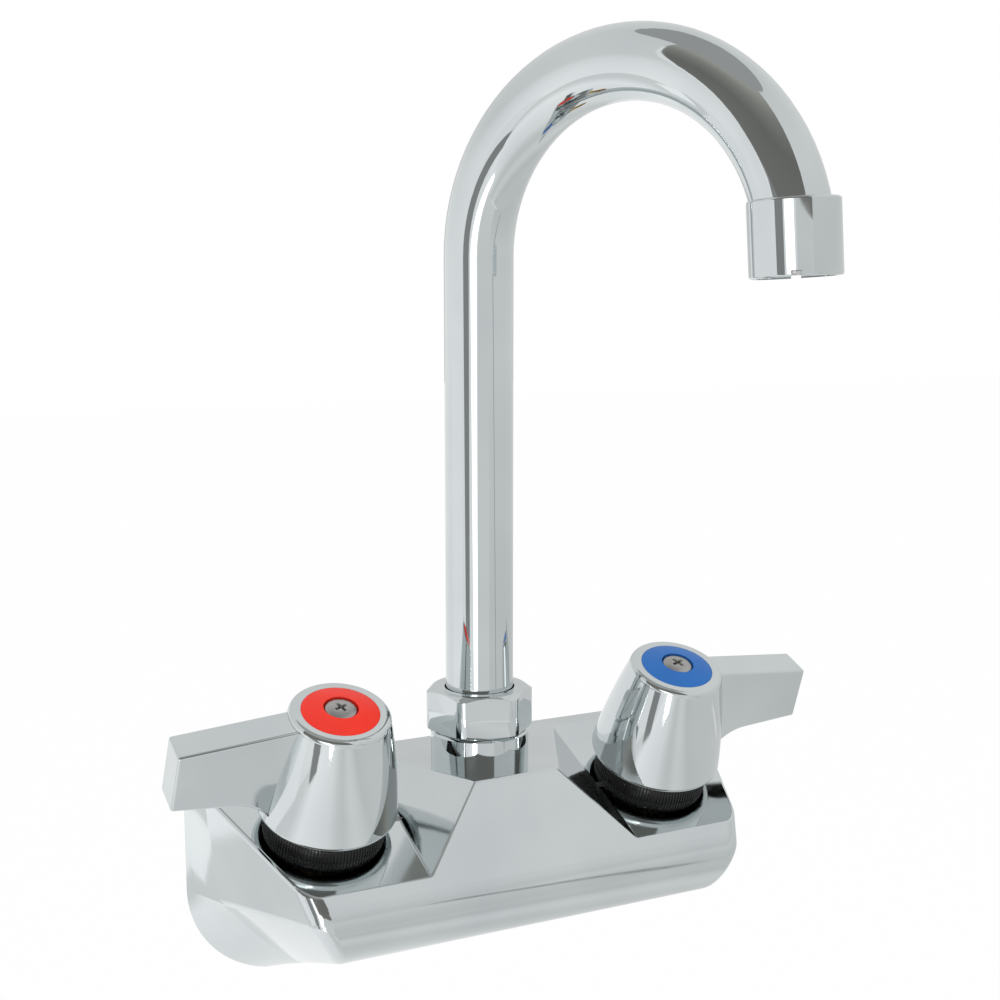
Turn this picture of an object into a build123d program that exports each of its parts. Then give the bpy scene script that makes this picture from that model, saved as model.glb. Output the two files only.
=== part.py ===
from build123d import *
import os
from math import copysign, cos, radians, sin, tan

# Two-handle gooseneck faucet for a wall or splash back. Millimetres, +Z up, front towards -Y.
# The origin is on the wall face, midway between the two inlets.

# Main sizes
inlet_spacing = 101.6
riser_to_wall = 20.0
tube_radius = 9.525
tube_wall = 1.2
bend_radius = 47.8
bend_start_z = 170.0
bend_angle = 176.0
spout_turn = 25.2
valve_tilt = 21.5

# Casting
wall_half_width = 80.5
plateau_z = 30.5
plateau_half_width = 12.5
plateau_flare = 0.5
plateau_front_y = -43.1
seat_y = -30.35
seat_front_y = -55.6
seat_front_z = 11.35
block_foot_half_width = 31.0
nose_radius = 12.0
nose_start = 3.2
underside_slope = 0.418
outline_top = 40.0
outline_front_y = -62.0
skirt_top = 80.2
skirt_depth = 13.7
end_edge_radius = 5.0
low_edge_radius = 4.0
soft_edge = 1.2
foot_radius = 1.5
rim_edge = 1.0

# Lower corners of the casting's front outline, at the wall, at the front of the skirt and at the nose.
# Each has the side's half width and low end, the bulge of the arc, and the bottom's half width and height.
wall_corner = (wall_half_width, -3.5, 8.0, 52.5, -31.3)
skirt_corner = (75.1, -3.0, 1.0, 52.0, -25.5)
front_corner = (62.4, 5.0, 0.3, 57.0, -5.4)

# Points beside the casting's lower end edges and the rims of its valve seats, which are rounded
low_edge_spot = (68.8, -38.0, 1.0)
rim_spots = ((73.0, -31.0, 21.0), (79.2, -11.0, 29.0))

# Cored pockets in the back of the casting
pocket_sides = (17.0, 35.0)
pocket_depth = 34.0
pocket_back = (-25.0, 20.0)
pocket_front = (-10.0, 12.0)
pocket_draft = 2.0
pocket_corner = 2.5

# Waterways in the casting
shank_radius = 10.4
shank_bore = 6.5
shank_depth = 14.0
inlet_bore_depth = 23.0
cartridge_radius = 9.0
chamber_depth = 26.0
cross_bore = 5.0
cross_wall = 3.0
cross_y = -25.0
cross_z = 8.0
spout_thread_radius = 10.15
spout_thread_bottom = 16.5
spout_well_bottom = 4.5
spout_well_radius = 7.0

# Gaps and overruns
fit_gap = 0.02
running_gap = 0.06
seal_gap = 0.1
tube_gap = 0.35
overrun = 5.0
cut_margin = 20.0
cutter_size = 140.0

# Wall fixing
shank_length = 40.0
shank_chamfer = 0.8
relief_start = 14.5
relief_width = 1.5
relief_radius = 9.5
washer_start = 3.2
washer_thick = 1.6
washer_radius = 17.0
washer_gap = 0.4
lock_nut_thick = 7.0
lock_nut_flats = 30.0
lock_nut_turn = 30.0
lock_nut_chamfer = 1.2
hex_face_inset = 0.3
hex_corner_over = 0.5

# Spout joint
collar_radius = 13.9
collar_top = 37.7
collar_chamfer = 0.6
collar_neck_radius = 11.9
collar_neck_top = 44.0
socket_floor = 32.5
socket_wall = 7.0
tube_bottom = 32.9
nut_bottom = 38.1
nut_top = 49.9
nut_flats = 27.2
nut_turn = -7.4
nut_lid = 47.2
nut_chamfer = 1.9
bushing_radius = 11.3
bushing_bottom = 44.4
bushing_top = 46.2
thrust_thick = 0.8
thrust_inset = 0.3
oring_heights = (35.6, 40.4)
oring_section = 1.4
oring_squeeze = 0.04
gasket_radius = 12.2
gasket_thick = 1.0

# Outlet, heights measured from the tube's end along its axis
aerator_radius = 11.1
aerator_above = 9.7
aerator_below = 8.5
aerator_edge = 0.6
notch_width = 2.4
notch_depth = 1.4
notch_length = 8.0
notch_angle = 152.0
outlet_washer_bore = 6.6
outlet_washer_span = (0.2, 1.9)
insert_radius = 9.3
insert_span = (2.0, 7.2)
insert_floor = 4.6
insert_wall = 1.2
insert_holes = 10
insert_hole_circle = 5.2
insert_hole_radius = 0.9
screen_span = (7.3, 7.8)
screen_pitch = 1.0
screen_rows = 9
screen_reach = 7.6
screen_hole_radius = 0.55

# Handle, heights measured from the valve seat along the valve axis
handle_height = 36.3
hub_rim_radius = 13.4
hub_edge = 1.6
hub_bulge = (16.95, 19.0)
hub_skirt_radius = 18.8
hub_skirt_edge = 1.7
hub_skirt_low = 5.2
hub_skirt_high = 8.0
hub_wall = 1.8
hub_taper = 0.6
boss_radius = 8.2
boss_low = 13.0
boss_top = 26.0
disc_radius = 10.2
disc_thick = 1.6
disc_crown = 1.2
disc_fullness = 0.62
disc_gap = 0.05
disc_bore_gap = 0.15
screw_head_radius = 4.4
screw_head_rise = 1.4
screw_head_edge = 0.7
screw_radius = 2.4
screw_length = 14.0
screw_gap = 0.2
recess_length = 5.0
recess_width = 1.1
recess_depth = 1.2
recess_turn = 20.0

# Lever: reach from the valve axis, and drop below the top of the handle
lever_half_width = 4.75
lever_edge = 0.7
lever_root = (8.0, 0.9)
lever_tip_top = (43.0, 4.3)
lever_tip_low = (43.8, 20.7)
lever_under = (26.5, 22.4)
lever_throat = (20.3, 25.0)
lever_foot = (17.0, 29.5)
lever_core = ((21.5, 40.0), (21.5, 4.4), (41.3, 6.3), (41.8, 40.0))
lever_wall = 1.5

# Valve cartridge, heights measured from the valve seat
ring_radius = 16.4
ring_bore = 15.4
ring_height = 4.3
ring_web = 1.4
ring_foot_edge = 0.3
ring_top_edge = 0.3
bonnet_flats = 25.0
bonnet_top = 7.4
bonnet_chamfer = 1.0
barrel_top = 8.0
neck_radius = 7.0
neck_top = 12.0
chamber_gap = 0.5
cartridge_groove = (-5.0, -3.4)
cartridge_section = 1.2
port_height = -13.0
port_radius = 3.5
stem_radius = 4.6
stem_top = 29.5
stem_gap = 0.3
stem_groove = (3.4, 4.8)
stem_section = 1.1
stem_thread_depth = 11.0
foot_top = -9.0
seal_low = -25.4
seal_thick = 2.0
seal_bore = 5.2
ceramic_radius = 7.5
ceramic_thick = 4.0
ceramic_gap = 0.05
ceramic_ports = 2
ceramic_port_circle = 3.9
ceramic_port_radius = 2.3

# Values worked out from the sizes above
inlet_x = inlet_spacing / 2
riser_y = -riser_to_wall
tilt = radians(valve_tilt)
seat_z = seat_front_z + (seat_y - seat_front_y) * tan(tilt)
valve_axis = (0, -sin(tilt), cos(tilt))
slope_run = Vector(seat_front_y - plateau_front_y, seat_front_z - plateau_z).normalized()
nose_begin = Vector(seat_front_y, seat_front_z) + slope_run * nose_start
nose_centre = nose_begin + Vector(-slope_run.Y, slope_run.X) * nose_radius
nose_end = nose_centre + Vector(-underside_slope, -1).normalized() * nose_radius
strip_y = seat_y + (plateau_z - seat_z) / tan(tilt)
strip_half_width = plateau_half_width + plateau_flare * (strip_y - plateau_front_y)
plateau_front = Vector(0, plateau_front_y, plateau_z)
plateau_corner = Vector(plateau_half_width, plateau_front_y, plateau_z)
strip_corner = Vector(strip_half_width, strip_y, plateau_z)
foot_corner = Vector(block_foot_half_width, seat_front_y, seat_front_z)
cartridge_low = -chamber_depth + chamber_gap
upper_low = seal_low + seal_thick + ceramic_gap + ceramic_thick
stem_low = upper_low + ceramic_gap + ceramic_thick
sides = {"hot": -1, "cold": 1}


def ring(outer, inner, low, high):
    """Plain ring about Z."""
    body = Cylinder(outer, high - low) - Cylinder(inner, high - low)
    return Pos(0, 0, (low + high) / 2) * body


def rod(radius, low, high):
    """Plain cylinder about Z."""
    return Pos(0, 0, (low + high) / 2) * Cylinder(radius, high - low)


def turned(*outline):
    """Solid of revolution about Z from (radius, height) corners."""
    return revolve(make_face(Plane.XZ * Polyline(*outline, close=True)), Axis.Z)


def doughnut(inner, section, height):
    """O-ring about Z with a round section."""
    return Pos(0, 0, height) * Torus(inner + section / 2, section / 2)


def hex_prism(flats, low, high, angle=0.0):
    """Hexagon bar about Z, given across its flats."""
    outline = Rot(0, 0, angle) * RegularPolygon(flats / 2, 6, major_radius=False)
    return extrude(Pos(0, 0, low) * outline, high - low)


def hex_chamfer(flats, low, high, drop, both_ends):
    """Turned envelope that rounds off a hexagon's corners at its ends."""
    corner = flats / 2 / cos(radians(30)) + hex_corner_over
    face = flats / 2 - hex_face_inset
    outline = [(0, low), (face, low), (corner, low + drop)] if both_ends else [(0, low), (corner, low)]
    return turned(*outline, (corner, high - drop), (face, high), (0, high))


def valve_frame(side):
    """Frame on a valve seat: Z along the valve axis, X outwards along the closed lever."""
    return Plane(origin=(side * inlet_x, seat_y, seat_z), x_dir=(side, 0, 0), z_dir=valve_axis)


def wall_frame(side):
    """Frame at an inlet on the wall face, Z pointing into the wall."""
    return Plane(origin=(side * inlet_x, 0, 0), x_dir=(1, 0, 0), z_dir=(0, 1, 0))


def underside(y):
    """Height of the casting's sloping underside at a depth."""
    return nose_end.Y - underside_slope * (y - nose_end.X)


def corner_arc(side, corner):
    """Curved lower corner of the casting's front outline, from its side to its bottom."""
    side_half, side_low, bulge, bottom_half, bottom = corner
    run_x = side_half - bottom_half
    run_z = side_low - bottom
    chord = (run_x**2 + run_z**2) ** 0.5
    bulge_x = (side_half + bottom_half) / 2 + bulge * run_z / chord
    bulge_z = (side_low + bottom) / 2 - bulge * run_x / chord
    middle = (side * bulge_x, bulge_z)
    return ThreePointArc((side * side_half, side_low), middle, (side * bottom_half, bottom))


def skirt_outline(y, top_half, corner):
    """Front outline of the flared skirt at one depth."""
    side_half, side_low, _, bottom_half, bottom = corner
    edges = [
        Line((-top_half, outline_top), (top_half, outline_top)),
        Line((top_half, outline_top), (side_half, side_low)),
        corner_arc(1, corner),
        Line((bottom_half, bottom), (-bottom_half, bottom)),
        corner_arc(-1, corner),
        Line((-side_half, side_low), (-top_half, outline_top)),
    ]
    return Plane.XZ.offset(-y) * make_face(Curve() + edges)


def corner_cutter(side):
    """What is cut off one lower corner of the casting in front of the skirt."""
    low = underside(0.0) - cut_margin
    far = wall_half_width + cut_margin
    faces = []
    for y, corner in ((-skirt_depth, skirt_corner), (outline_front_y, front_corner)):
        side_half, side_low, _, bottom_half, bottom = corner
        edges = [
            corner_arc(side, corner),
            Polyline((side * bottom_half, bottom), (side * bottom_half, low), (side * far, low)),
            Polyline((side * far, low), (side * far, side_low), (side * side_half, side_low)),
        ]
        faces.append(Plane.XZ.offset(-y) * make_face(Curve() + edges))
    return loft(faces, ruled=True)


def end_plane(side):
    """Plane of the casting's end face, facing outwards."""
    back = Vector(side * skirt_corner[0], -skirt_depth, skirt_corner[1])
    front = Vector(side * front_corner[0], outline_front_y, front_corner[1])
    top = Vector(side * skirt_top, -skirt_depth, outline_top)
    normal = (front - back).cross(top - back).normalized()
    if normal.X * side < 0:
        normal = normal * -1
    return Plane(origin=back, z_dir=normal)


def body_blank():
    """Casting without its pockets: a profiled bar with sloping ends, and the flared skirt behind it."""
    profile = make_face(
        Curve()
        + [
            Line((0, plateau_z), (plateau_front_y, plateau_z)),
            Line((plateau_front_y, plateau_z), nose_begin),
            ThreePointArc(nose_begin, nose_centre + Vector(-nose_radius, 0), nose_end),
            Line(nose_end, (0, underside(0.0))),
            Line((0, underside(0.0)), (0, plateau_z)),
        ]
    )
    prism = extrude(Plane.YZ * profile, wall_half_width + cut_margin, both=True)
    bar = split(prism, bisect_by=Plane(origin=(0, -skirt_depth, 0), z_dir=(0, -1, 0)), keep=Keep.TOP)
    for side in sides.values():
        bar = split(bar, bisect_by=end_plane(side), keep=Keep.BOTTOM)
    ends = [edge for edge in bar.edges() if abs(edge.center().X) > 1 and edge.center().Y < plateau_front_y]
    bar = fillet(ends, end_edge_radius)
    for side in sides.values():
        bar -= corner_cutter(side)
    outlines = [
        skirt_outline(0.0, wall_half_width, wall_corner),
        skirt_outline(-skirt_depth, skirt_top, skirt_corner),
    ]
    return bar + (loft(outlines, ruled=True) & prism)


def seat_cutter(side):
    """What is cut away above one tilted valve seat, outside the middle block."""
    block = valve_frame(side) * Pos(0, 0, cutter_size / 2) * Box(cutter_size, cutter_size, cutter_size)
    normal = (strip_corner - plateau_corner).cross(foot_corner - plateau_corner).normalized()
    normal = normal * copysign(1, normal.X)
    wall = Plane(
        origin=(side * plateau_corner.X, plateau_corner.Y, plateau_corner.Z),
        z_dir=(side * normal.X, normal.Y, normal.Z),
    )
    return split(block, bisect_by=wall, keep=Keep.TOP)


def softened(shape, radius, spots):
    """Shape with the edges nearest to some spots, and to their mirror images, rounded."""
    edges = []
    for spot in spots:
        for side in sides.values():
            x, y, z = spot
            mirrored = Vector(side * x, y, z)
            edge = min(shape.edges(), key=lambda each: each.distance_to(mirrored))
            if edge not in edges:
                edges.append(edge)
    return fillet(edges, radius)


def back_pocket(side):
    """Cored pocket in the back of the casting, tapering forwards."""
    inner, outer = pocket_sides
    ends = []
    for y, (low, high), trim in ((0.0, pocket_back, 0.0), (-pocket_depth, pocket_front, pocket_draft)):
        shape = RectangleRounded(outer - inner - trim, high - low, pocket_corner)
        ends.append(Plane.XZ.offset(-y) * Pos(side * (inner + outer) / 2, (low + high) / 2) * shape)
    return loft(ends, ruled=True)


def faucet_body():
    casting = body_blank()
    for side in sides.values():
        casting -= seat_cutter(side)
    casting = softened(casting, low_edge_radius, [low_edge_spot])
    block_spots = [plateau_front, (plateau_corner + strip_corner) * 0.5, (plateau_corner + foot_corner) * 0.5]
    casting = softened(casting, soft_edge, block_spots)
    casting = softened(casting, foot_radius, [(foot_corner + strip_corner) * 0.5])
    casting = softened(casting, rim_edge, rim_spots)
    for side in sides.values():
        casting -= back_pocket(side)
    cross_place = Pos(0, cross_y, cross_z) * Rot(0, 90, 0)
    casting += cross_place * Cylinder(cross_bore + cross_wall, 2 * inlet_x)
    riser_place = Pos(0, riser_y, 0)
    casting -= riser_place * rod(spout_thread_radius + fit_gap, spout_thread_bottom, plateau_z + overrun)
    casting -= riser_place * rod(spout_well_radius, spout_well_bottom, plateau_z)
    casting -= cross_place * Cylinder(cross_bore, 2 * inlet_x)
    for side in sides.values():
        casting -= valve_frame(side) * rod(cartridge_radius + fit_gap, -chamber_depth, overrun)
        casting -= wall_frame(side) * rod(shank_radius + fit_gap, -shank_depth, overrun)
        casting -= wall_frame(side) * rod(shank_bore, -inlet_bore_depth, 0.0)
    return casting


def inlet_shank(side):
    shape = ring(shank_radius, shank_bore, -shank_depth, shank_length)
    shape = chamfer(shape.edges().filter_by(GeomType.CIRCLE).group_by(Axis.Z)[-1], shank_chamfer)
    shape -= ring(shank_radius + overrun, relief_radius, relief_start, relief_start + relief_width)
    return wall_frame(side) * shape


def mounting_washer(side):
    shape = ring(washer_radius, shank_radius + washer_gap, washer_start, washer_start + washer_thick)
    return wall_frame(side) * shape


def mounting_nut(side):
    low = washer_start + washer_thick
    high = low + lock_nut_thick
    shape = hex_prism(lock_nut_flats, low, high, lock_nut_turn) - rod(shank_radius + fit_gap, low, high)
    return wall_frame(side) * (shape & hex_chamfer(lock_nut_flats, low, high, lock_nut_chamfer, True))


def spout_collar():
    shape = turned(
        (socket_wall, spout_thread_bottom),
        (spout_thread_radius, spout_thread_bottom),
        (spout_thread_radius, plateau_z),
        (collar_radius, plateau_z),
        (collar_radius, collar_top - collar_chamfer),
        (collar_radius - collar_chamfer, collar_top),
        (collar_neck_radius, collar_top),
        (collar_neck_radius, collar_neck_top),
        (tube_radius + running_gap, collar_neck_top),
        (tube_radius + running_gap, socket_floor),
        (socket_wall, socket_floor),
    )
    half = oring_section / 2 + seal_gap
    for height in oring_heights:
        shape -= ring(tube_radius + oring_section + seal_gap, tube_radius, height - half, height + half)
    shape -= ring(gasket_radius + seal_gap, spout_thread_radius, plateau_z, plateau_z + gasket_thick)
    return Pos(0, riser_y, 0) * shape


def collar_gasket():
    shape = ring(gasket_radius, spout_thread_radius + seal_gap, plateau_z, plateau_z + gasket_thick)
    return Pos(0, riser_y, 0) * shape


def spout_nut():
    bore = rod(collar_neck_radius + fit_gap, nut_bottom, nut_lid)
    hole = rod(tube_radius + tube_gap, nut_lid, nut_top)
    shape = hex_prism(nut_flats, nut_bottom, nut_top, nut_turn)
    shape &= hex_chamfer(nut_flats, nut_bottom, nut_top, nut_chamfer, False)
    return Pos(0, riser_y, 0) * (shape - bore - hole)


def thrust_washer():
    high = nut_lid - seal_gap
    shape = ring(collar_neck_radius - thrust_inset, tube_radius + tube_gap, high - thrust_thick, high)
    return Pos(0, riser_y, 0) * shape


def spout_orings():
    rings = Part()
    for height in oring_heights:
        rings += doughnut(tube_radius + oring_squeeze, oring_section - oring_squeeze, height)
    return Pos(0, riser_y, 0) * rings


def spout_place():
    """Location of the spout's own frame, whose X points along the spout."""
    return Pos(0, riser_y, 0) * Rot(0, 0, spout_turn - 90.0)


def spout_rod(radius):
    """Solid bar along the gooseneck's centre line, in the spout's own frame."""
    straight = rod(radius, tube_bottom, bend_start_z)
    axis = Axis((bend_radius, 0, bend_start_z), (0, 1, 0))
    bend = revolve(Pos(0, 0, bend_start_z) * Circle(radius), axis, bend_angle)
    return straight + bend


def outlet_frame():
    """Frame at the end of the bend, Z pointing out of the spout."""
    angle = radians(bend_angle)
    end = (bend_radius * (1 - cos(angle)), 0, bend_start_z + bend_radius * sin(angle))
    return Plane(origin=end, x_dir=(0, 1, 0), z_dir=(sin(angle), 0, cos(angle)))


def spout_tube():
    return spout_place() * (spout_rod(tube_radius) - spout_rod(tube_radius - tube_wall))


def spout_bushing():
    return spout_place() * ring(bushing_radius, tube_radius + fit_gap, bushing_bottom, bushing_top)


def aerator_housing():
    shell = rod(aerator_radius, -aerator_above, aerator_below)
    shell = fillet(shell.edges().filter_by(GeomType.CIRCLE), aerator_edge)
    shell -= rod(insert_radius + fit_gap, 0.0, aerator_below)
    notch = Pos(aerator_radius, 0, aerator_below) * Box(notch_length, notch_width, 2 * notch_depth)
    for angle in (0.0, 180.0):
        shell -= Rot(0, 0, notch_angle + angle) * notch
    return spout_place() * (outlet_frame() * shell - spout_rod(tube_radius + fit_gap))


def aerator_washer():
    return spout_place() * (outlet_frame() * ring(insert_radius, outlet_washer_bore, *outlet_washer_span))


def aerator_insert():
    low, high = insert_span
    shape = rod(insert_radius, low, high) - rod(insert_radius - insert_wall, insert_floor, high)
    for place in PolarLocations(insert_hole_circle, insert_holes):
        shape -= place * rod(insert_hole_radius, low, insert_floor)
    return spout_place() * (outlet_frame() * shape)


def aerator_screen():
    shape = rod(insert_radius - seal_gap, *screen_span)
    places = HexLocations(screen_pitch, screen_rows, screen_rows)
    holes = [
        place * rod(screen_hole_radius, *screen_span)
        for place in places
        if place.position.length < screen_reach
    ]
    return spout_place() * (outlet_frame() * (shape - holes))


def cartridge_body(side):
    shape = rod(cartridge_radius, cartridge_low, barrel_top) + rod(neck_radius, barrel_top, neck_top)
    shape -= rod(stem_radius + running_gap, foot_top, neck_top)
    shape -= rod(ceramic_radius + seal_gap, cartridge_low, foot_top + seal_gap)
    shape -= ring(cartridge_radius, cartridge_radius - cartridge_section, *cartridge_groove)
    shape -= Pos(0, 0, port_height) * Rot(0, 90, 0) * Cylinder(port_radius, 2 * cartridge_radius + overrun)
    return valve_frame(side) * shape


def cartridge_oring(side):
    height = sum(cartridge_groove) / 2
    return valve_frame(side) * doughnut(cartridge_radius - cartridge_section, cartridge_section, height)


def bonnet_nut(side):
    shape = hex_prism(bonnet_flats, ring_web, bonnet_top)
    shape &= hex_chamfer(bonnet_flats, ring_web, bonnet_top, bonnet_chamfer, False)
    return valve_frame(side) * (shape - rod(cartridge_radius + fit_gap, ring_web, bonnet_top))


def base_ring(side):
    shape = turned(
        (cartridge_radius + seal_gap, 0.0),
        (ring_radius - ring_foot_edge, 0.0),
        (ring_radius, ring_foot_edge),
        (ring_radius, ring_height - ring_top_edge),
        (ring_radius - ring_top_edge, ring_height),
        (ring_bore, ring_height),
        (ring_bore, ring_web),
        (cartridge_radius + seal_gap, ring_web),
    )
    return valve_frame(side) * shape


def seat_gasket(side):
    return valve_frame(side) * ring(ceramic_radius, seal_bore, seal_low, seal_low + seal_thick)


def ceramic_disc(low):
    """Valve disc with two ports across from each other."""
    shape = rod(ceramic_radius, low, low + ceramic_thick)
    for place in PolarLocations(ceramic_port_circle, ceramic_ports):
        shape -= place * rod(ceramic_port_radius, low, low + ceramic_thick)
    return shape


def lower_disc(side):
    return valve_frame(side) * ceramic_disc(seal_low + seal_thick)


def upper_disc(side):
    return valve_frame(side) * Rot(0, 0, 90) * ceramic_disc(upper_low)


def valve_stem(side):
    shape = rod(ceramic_radius - seal_gap, stem_low, foot_top) + rod(stem_radius, foot_top, stem_top)
    shape -= ring(stem_radius, stem_radius - stem_section, *stem_groove)
    shape -= rod(screw_radius + fit_gap, stem_top - stem_thread_depth, stem_top)
    return valve_frame(side) * shape


def stem_oring(side):
    return valve_frame(side) * doughnut(stem_radius - stem_section, stem_section, sum(stem_groove) / 2)


def hub_form():
    """Outer form of a handle's hub: a bulging cone with softened ends."""
    rim = (hub_rim_radius, handle_height - hub_edge)
    corner = hub_edge * (1 - cos(radians(45)))
    rim_mid = (hub_rim_radius - corner, handle_height - corner)
    rim_end = (hub_rim_radius - hub_edge, handle_height)
    skirt = (hub_skirt_radius, hub_skirt_low + hub_skirt_edge)
    lip = hub_skirt_edge * (1 - cos(radians(45)))
    skirt_mid = (hub_skirt_radius - lip, hub_skirt_low + lip)
    skirt_foot = (hub_skirt_radius - hub_skirt_edge, hub_skirt_low)
    outline = make_face(
        Curve()
        + [
            Line((0, hub_skirt_low), skirt_foot),
            ThreePointArc(skirt_foot, skirt_mid, skirt),
            ThreePointArc(skirt, hub_bulge, rim),
            ThreePointArc(rim, rim_mid, rim_end),
            Polyline(rim_end, (0, handle_height), (0, hub_skirt_low)),
        ]
    )
    return revolve(Plane.XZ * outline, Axis.Z)


def lever_form():
    """Straight lever, from inside the hub to its tip."""
    names = (lever_root, lever_tip_top, lever_tip_low, lever_under, lever_throat, lever_foot)
    root, tip_top, tip_low, under, throat, foot = [(reach, handle_height - drop) for reach, drop in names]
    root_low = (root[0], foot[1])
    outline = make_face(
        Curve()
        + [
            Polyline(root_low, root, tip_top, tip_low, under),
            ThreePointArc(under, throat, foot),
            Line(foot, root_low),
        ]
    )
    bar = extrude(Plane.XZ * outline, lever_half_width, both=True)
    outer = bar.edges().filter_by(lambda edge: edge.center().X > root[0] + lever_edge)
    return fillet(outer, lever_edge)


def lever_hollow():
    """Core taken out of the lever from below."""
    outline = make_face(Polyline(*[(reach, handle_height - drop) for reach, drop in lever_core], close=True))
    return extrude(Plane.XZ * outline, lever_half_width - lever_wall, both=True)


def lever_handle(side):
    shape = hub_form() + (lever_form() - lever_hollow())
    top = handle_height - disc_thick
    shape -= turned(
        (0, hub_skirt_low),
        (hub_skirt_radius - hub_wall, hub_skirt_low),
        (hub_skirt_radius - hub_wall, hub_skirt_high),
        (hub_rim_radius - hub_wall - hub_taper, boss_top),
        (boss_radius, boss_top),
        (boss_radius, boss_low),
        (0, boss_low),
    )
    shape -= rod(stem_radius + fit_gap, boss_low, stem_top + stem_gap)
    shape -= rod(screw_radius + screw_gap, stem_top, top)
    shape -= rod(disc_radius + disc_gap, top, handle_height)
    return valve_frame(side) * shape


def index_disc(side):
    low = handle_height - disc_thick
    bore = screw_head_radius + disc_bore_gap
    rim = (disc_radius, handle_height)
    middle = ((bore + disc_radius) / 2, handle_height + disc_crown * disc_fullness)
    crown = (bore, handle_height + disc_crown)
    edges = [Polyline(crown, (bore, low), (disc_radius, low), rim), ThreePointArc(rim, middle, crown)]
    return valve_frame(side) * revolve(Plane.XZ * make_face(Curve() + edges), Axis.Z)


def handle_screw(side):
    low = handle_height - disc_thick
    high = handle_height + screw_head_rise
    head = rod(screw_head_radius, low, high)
    head = fillet(head.edges().group_by(Axis.Z)[-1], screw_head_edge)
    shape = head + rod(screw_radius, low - screw_length, low)
    slot = Pos(0, 0, high) * Box(recess_length, recess_width, 2 * recess_depth)
    for angle in (0.0, 90.0):
        shape -= Rot(0, 0, angle + recess_turn) * slot
    return valve_frame(side) * shape


single_parts = [
    faucet_body,
    spout_collar,
    collar_gasket,
    spout_nut,
    thrust_washer,
    spout_orings,
    spout_tube,
    spout_bushing,
    aerator_housing,
    aerator_washer,
    aerator_insert,
    aerator_screen,
]
paired_parts = [
    inlet_shank,
    mounting_washer,
    mounting_nut,
    cartridge_body,
    cartridge_oring,
    bonnet_nut,
    base_ring,
    seat_gasket,
    lower_disc,
    upper_disc,
    valve_stem,
    stem_oring,
    lever_handle,
    index_disc,
    handle_screw,
]

os.makedirs("parts", exist_ok=True)
for make in single_parts:
    export_step(make(), f"parts/{make.__name__}.step")
for make in paired_parts:
    for word, side in sides.items():
        export_step(make(side), f"parts/{make.__name__}_{word}.step")
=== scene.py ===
from math import atan2, cos, pi, radians, sin, sqrt

import bpy
from mathutils import Matrix, Vector


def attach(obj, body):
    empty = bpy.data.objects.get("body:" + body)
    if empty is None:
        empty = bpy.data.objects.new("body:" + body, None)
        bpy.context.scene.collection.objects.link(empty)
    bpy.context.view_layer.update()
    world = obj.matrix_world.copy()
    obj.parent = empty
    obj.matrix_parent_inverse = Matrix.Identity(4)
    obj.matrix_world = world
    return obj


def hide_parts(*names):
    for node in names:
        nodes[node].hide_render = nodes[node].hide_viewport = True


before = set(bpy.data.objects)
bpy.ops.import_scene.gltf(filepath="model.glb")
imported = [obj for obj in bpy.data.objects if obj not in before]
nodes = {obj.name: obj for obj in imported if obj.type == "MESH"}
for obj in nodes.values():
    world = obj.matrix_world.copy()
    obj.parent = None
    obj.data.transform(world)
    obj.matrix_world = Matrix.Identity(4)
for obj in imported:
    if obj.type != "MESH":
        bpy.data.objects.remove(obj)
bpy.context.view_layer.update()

scene = bpy.context.scene
hair = 0.00001  # metres; points nearer than this count as one place
print("loaded", len(nodes), "nodes")


def clearSelection():
    if bpy.context.object and bpy.context.object.mode != "OBJECT":
        bpy.ops.object.mode_set(mode="OBJECT")
    bpy.ops.object.select_all(action="DESELECT")


# camera at the photo's viewing angle
viewpoint = {
    "place": (-0.1881, -0.4093, 0.168),
    "turn": (81.45, 0.0, -26.56),
    "lens": 56.55,
    "sensor": 36.0,
    "nearest": 0.01,
}


def setCamera():
    clearSelection()
    turn = [radians(angle) for angle in viewpoint["turn"]]
    bpy.ops.object.camera_add(location=viewpoint["place"], rotation=turn)
    camera = bpy.context.object
    camera.name = "photoCamera"
    camera.data.lens = viewpoint["lens"]
    camera.data.sensor_width = viewpoint["sensor"]
    camera.data.clip_start = viewpoint["nearest"]
    scene.camera = camera


# studio: white tent with a few cards that the chrome mirrors
studio = {
    "floorDrop": 0.42,  # floor below the wall face's centre
    "floorSize": 12.0,
    "floorGrey": 0.9,
    "floorGlow": 0.985,  # the rest stays matt and keeps the shadow
    "ambient": 0.62,  # what the white tent gives to matt surfaces
}


def showsBackground(tree):
    # 1 for rays that see the background: straight, mirrored or through glass
    path = tree.nodes.new("ShaderNodeLightPath")
    seen = path.outputs["Is Camera Ray"]
    for kind in ("Is Glossy Ray", "Is Transmission Ray"):
        either = tree.nodes.new("ShaderNodeMath")
        either.operation = "MAXIMUM"
        tree.links.new(seen, either.inputs[0])
        tree.links.new(path.outputs[kind], either.inputs[1])
        seen = either.outputs[0]
    return seen


def setWorld():
    world = bpy.data.worlds.new("whiteTent")
    world.use_nodes = True
    scene.world = world
    tree = world.node_tree
    tree.nodes.clear()
    mix = tree.nodes.new("ShaderNodeMixShader")
    tree.links.new(showsBackground(tree), mix.inputs[0])
    for socket, strength in ((mix.inputs[1], studio["ambient"]), (mix.inputs[2], 1.0)):
        tent = tree.nodes.new("ShaderNodeBackground")
        tent.inputs["Color"].default_value = (1, 1, 1, 1)
        tent.inputs["Strength"].default_value = strength
        tree.links.new(tent.outputs[0], socket)
    out = tree.nodes.new("ShaderNodeOutputWorld")
    tree.links.new(mix.outputs[0], out.inputs["Surface"])


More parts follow.
